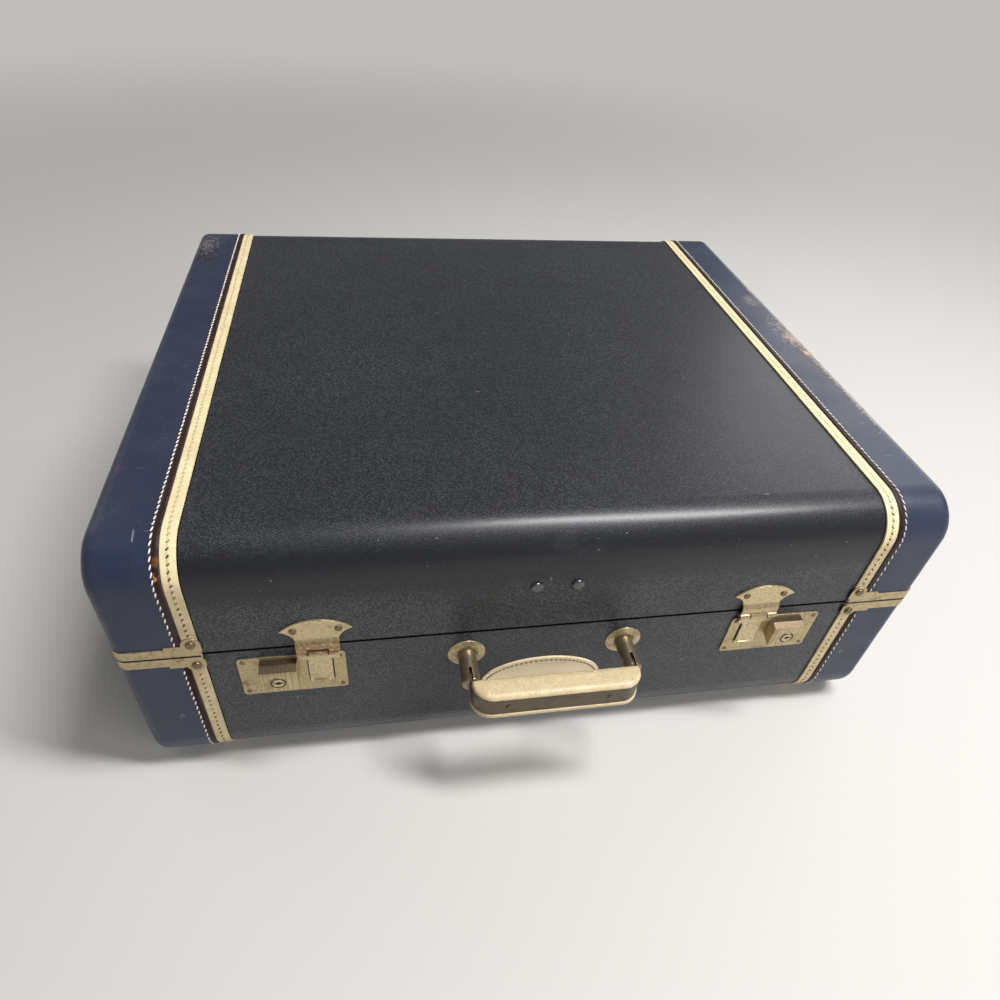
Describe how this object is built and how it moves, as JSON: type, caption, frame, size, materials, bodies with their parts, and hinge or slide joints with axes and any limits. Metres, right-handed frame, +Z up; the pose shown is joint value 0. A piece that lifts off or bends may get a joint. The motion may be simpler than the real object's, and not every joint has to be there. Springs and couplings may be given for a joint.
{
  "type": "suitcase",
  "caption": "Hard-sided suitcase on its broad face: hinged lid, stitched end caps and welts, brass hasp locks, a swinging handle and folding lid stays.",
  "frame": {"origin": "under the middle of the whole object's box, on the surface that it lies on", "axes": "+X along the case to the right as seen from the handle, -Y towards the handle, +Z up"},
  "size_m": [0.5346, 0.5206, 0.208],
  "materials": {
    "fibreboard": "plain board",
    "wood_frame": "bare wood",
    "canvas": "fine twill, dull",
    "navy_leather": "worn, soft gloss",
    "cream_welt": "stitched",
    "lining_cloth": "plain cloth",
    "worn_brass": "tarnished",
    "dark_bronze": "dark patina",
    "plated_steel": "plated",
    "cream_grip": "worn",
    "tan_leather": "smooth"
  },
  "bodies": {
    "case_body": {"body_shell": "fibreboard", "body_frame": "wood_frame", "body_canvas": "canvas", "left_body_cap": "navy_leather", "right_body_cap": "navy_leather", "body_welts": "cream_welt", "body_lining": "lining_cloth", "body_guards": "worn_brass", "body_rivets": "dark_bronze", "left_lock_plate": "worn_brass", "right_lock_plate": "worn_brass", "left_lock_case": "worn_brass", "right_lock_case": "worn_brass", "lock_nails": "worn_brass", "handle_washers": "worn_brass", "handle_posts": "dark_bronze", "handle_backplate": "dark_bronze", "handle_patch": "tan_leather", "handle_pins": "dark_bronze", "hinge_body_leaves": "worn_brass", "hinge_pins": "worn_brass", "body_feet": "dark_bronze", "stay_body_studs": "plated_steel", "left_lock_spring": "worn_brass", "right_lock_spring": "worn_brass"},
    "lid": {"lid_shell": "fibreboard", "lid_frame": "wood_frame", "lid_canvas": "canvas", "left_lid_cap": "navy_leather", "right_lid_cap": "navy_leather", "lid_welts": "cream_welt", "lid_lining": "lining_cloth", "lid_guards": "worn_brass", "lid_rivets": "dark_bronze", "lid_front_rivets": "dark_bronze", "hinge_lid_leaves": "worn_brass", "left_hasp_plate": "worn_brass", "right_hasp_plate": "worn_brass", "hasp_rivets": "dark_bronze", "hasp_pins": "worn_brass", "stay_lid_studs": "plated_steel", "lid_feet": "dark_bronze", "lid_pocket": "lining_cloth"},
    "left_hasp": {"left_hasp_tongue": "worn_brass"},
    "right_hasp": {"right_hasp_tongue": "worn_brass"},
    "left_slide": {"left_slide_button": "worn_brass", "left_slide_bolt": "worn_brass"},
    "right_slide": {"right_slide_button": "worn_brass", "right_slide_bolt": "worn_brass"},
    "left_key": {"left_key_cylinder": "worn_brass"},
    "right_key": {"right_key_cylinder": "worn_brass"},
    "handle": {"handle_band": "dark_bronze", "grip_core": "cream_grip", "grip_top": "cream_grip", "grip_bottom": "cream_grip", "handle_rivets": "dark_bronze"},
    "left_stay_lower": {"left_stay_lower_arm": "plated_steel"},
    "right_stay_lower": {"right_stay_lower_arm": "plated_steel"},
    "left_stay_upper": {"left_stay_upper_arm": "plated_steel"},
    "right_stay_upper": {"right_stay_upper_arm": "plated_steel"}
  },
  "joints": [
    {"name": "lid_hinge", "type": "hinge", "parent": "case_body", "child": "lid", "pos_m": [0, 0.25443, 0.124], "axis": [-1, 0, 0], "range_deg": [0, 100]},
    {"name": "left_hasp_hinge", "type": "hinge", "parent": "lid", "child": "left_hasp", "pos_m": [-0.1483, -0.21807, 0.1198], "axis": [-1, 0, 0], "range_deg": [0, 115]},
    {"name": "left_slide", "type": "slide", "parent": "case_body", "child": "left_slide", "axis": [-1, 0, 0], "range_m": [0, 0.006], "stiffness_N_per_m": 300, "deforming": ["left_lock_spring"]},
    {"name": "left_key_turn", "type": "hinge", "parent": "left_slide", "child": "left_key", "pos_m": [-0.1743, -0.22148, 0.1002], "axis": [0, 1, 0], "range_deg": [0, 90]},
    {"name": "right_hasp_hinge", "type": "hinge", "parent": "lid", "child": "right_hasp", "pos_m": [0.1483, -0.21807, 0.1198], "axis": [-1, 0, 0], "range_deg": [0, 115]},
    {"name": "right_slide", "type": "slide", "parent": "case_body", "child": "right_slide", "axis": [1, 0, 0], "range_m": [0, 0.006], "stiffness_N_per_m": 300, "deforming": ["right_lock_spring"]},
    {"name": "right_key_turn", "type": "hinge", "parent": "right_slide", "child": "right_key", "pos_m": [0.1743, -0.22148, 0.1002], "axis": [0, -1, 0], "range_deg": [0, 90]},
    {"name": "handle_swing", "type": "hinge", "parent": "case_body", "child": "handle", "pos_m": [0, -0.23647, 0.1025], "axis": [-1, 0, 0], "range_deg": [-90, 90]},
    {"name": "left_stay_lower_turn", "type": "hinge", "parent": "case_body", "child": "left_stay_lower", "pos_m": [-0.2517, 0.11455, 0.118], "axis": [-1, 0, 0], "range_deg": [0, 100]},
    {"name": "left_stay_upper_turn", "type": "hinge", "parent": "lid", "child": "left_stay_upper", "pos_m": [-0.2534, 0.1149, 0.1355], "axis": [-1, 0, 0], "range_deg": [-100, 0]},
    {"name": "right_stay_lower_turn", "type": "hinge", "parent": "case_body", "child": "right_stay_lower", "pos_m": [0.2517, 0.11455, 0.118], "axis": [-1, 0, 0], "range_deg": [0, 100]},
    {"name": "right_stay_upper_turn", "type": "hinge", "parent": "lid", "child": "right_stay_upper", "pos_m": [0.2534, 0.1149, 0.1355], "axis": [-1, 0, 0], "range_deg": [-100, 0]}
  ],
  "couplings": [
    {"joint": "left_stay_lower_turn", "follows": "lid_hinge", "ratio": 1},
    {"joint": "left_stay_upper_turn", "follows": "lid_hinge", "ratio": -1},
    {"joint": "right_stay_lower_turn", "follows": "lid_hinge", "ratio": 1},
    {"joint": "right_stay_upper_turn", "follows": "lid_hinge", "ratio": -1}
  ]
}
